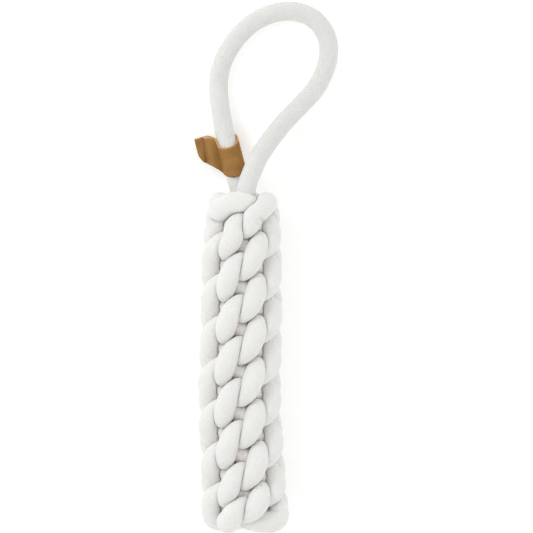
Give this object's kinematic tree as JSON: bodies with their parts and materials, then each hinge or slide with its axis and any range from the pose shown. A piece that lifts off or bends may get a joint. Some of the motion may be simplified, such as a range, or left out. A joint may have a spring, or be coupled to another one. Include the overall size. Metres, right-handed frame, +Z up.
{
  "type": "rope training bumper",
  "caption": "Thick knotted cotton rope bumper with a long hand loop and a small leather tab round one leg of the loop.",
  "frame": {"origin": "on the ground under the middle of the whole part, lying on its side", "axes": "+Y along the body towards the hand loop, +X to the right with the loop away from the viewer, +Z up"},
  "size_m": [0.104, 0.3853, 0.0602],
  "materials": {
    "cotton_jacket": "matt braided cotton",
    "cotton_core": "loose matt cotton filler",
    "tan_leather": "smooth tan leather with raw lighter edges",
    "seam_thread": "brown waxed thread",
    "binding_thread": "undyed cotton thread"
  },
  "bodies": {
    "body": {"left_handle_strand": "cotton_jacket", "right_handle_strand": "cotton_jacket", "front_second_strand": "cotton_jacket", "back_second_strand": "cotton_jacket", "second_rope_bight": "cotton_jacket", "handle_legs": "cotton_jacket", "end_whippings": "binding_thread", "handle_bend_jackets": "cotton_jacket", "handle_bend_cores": "cotton_core"},
    "loop": {"handle_bow_jacket": "cotton_jacket", "handle_bow_core": "cotton_core"},
    "tab": {"leather_tab": "tan_leather", "tab_stitching": "seam_thread"}
  },
  "joints": [
    {"name": "loop_lift", "type": "hinge", "parent": "body", "child": "loop", "pos_m": [-0.004, 0.107, 0.012], "axis": [1, 0, 0], "range_deg": [0, 90], "deforming": ["handle_bend_jackets", "handle_bend_cores"]},
    {"name": "tab_turn", "type": "hinge", "parent": "body", "child": "tab", "pos_m": [-0.0257, 0.0785, 0.01725], "axis": [-0.2424, 0.9348, -0.2597], "range_deg": [-35, 85]}
  ]
}
